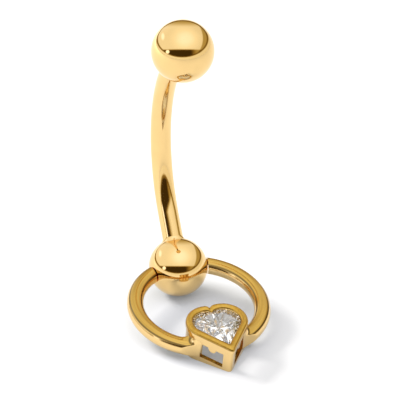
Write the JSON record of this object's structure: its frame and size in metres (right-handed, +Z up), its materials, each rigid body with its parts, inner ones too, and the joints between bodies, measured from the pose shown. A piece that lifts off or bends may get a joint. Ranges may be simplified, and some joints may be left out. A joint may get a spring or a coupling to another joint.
{
  "type": "navel ring",
  "caption": "Curved bar with a screw ball on top and a fixed ball below, which carries a swinging hoop with a heart-shaped stone in a pierced bezel.",
  "frame": {"origin": "on the surface that the part stands on, below the middle of its outline", "axes": "+Z up, towards the screw ball; -Y towards the heart's tip; +X along the hoop's hinge line, to the right of someone who faces the heart"},
  "size_m": [0.0112, 0.018, 0.0241],
  "materials": {
    "gold_bar": "polished yellow gold",
    "gold_ball": "polished yellow gold",
    "gold_hoop": "polished yellow gold, slightly satin on the rim and wire",
    "clear_stone": "clear, faceted and polished"
  },
  "bodies": {
    "bar": {"barbell": "gold_bar"},
    "hoop": {"heart_hoop": "gold_hoop", "heart_stone": "clear_stone"},
    "end_ball": {"top_ball": "gold_ball"}
  },
  "joints": [
    {"name": "hoop_swing", "type": "hinge", "parent": "bar", "child": "hoop", "pos_m": [0, 0.00349, 0.00232], "axis": [1, 0, 0], "range_deg": [-106, 209]},
    {"name": "ball_lift", "type": "slide", "parent": "bar", "child": "end_ball", "axis": [0, -0.6631, 0.7485], "range_m": [0, 0.004]}
  ]
}
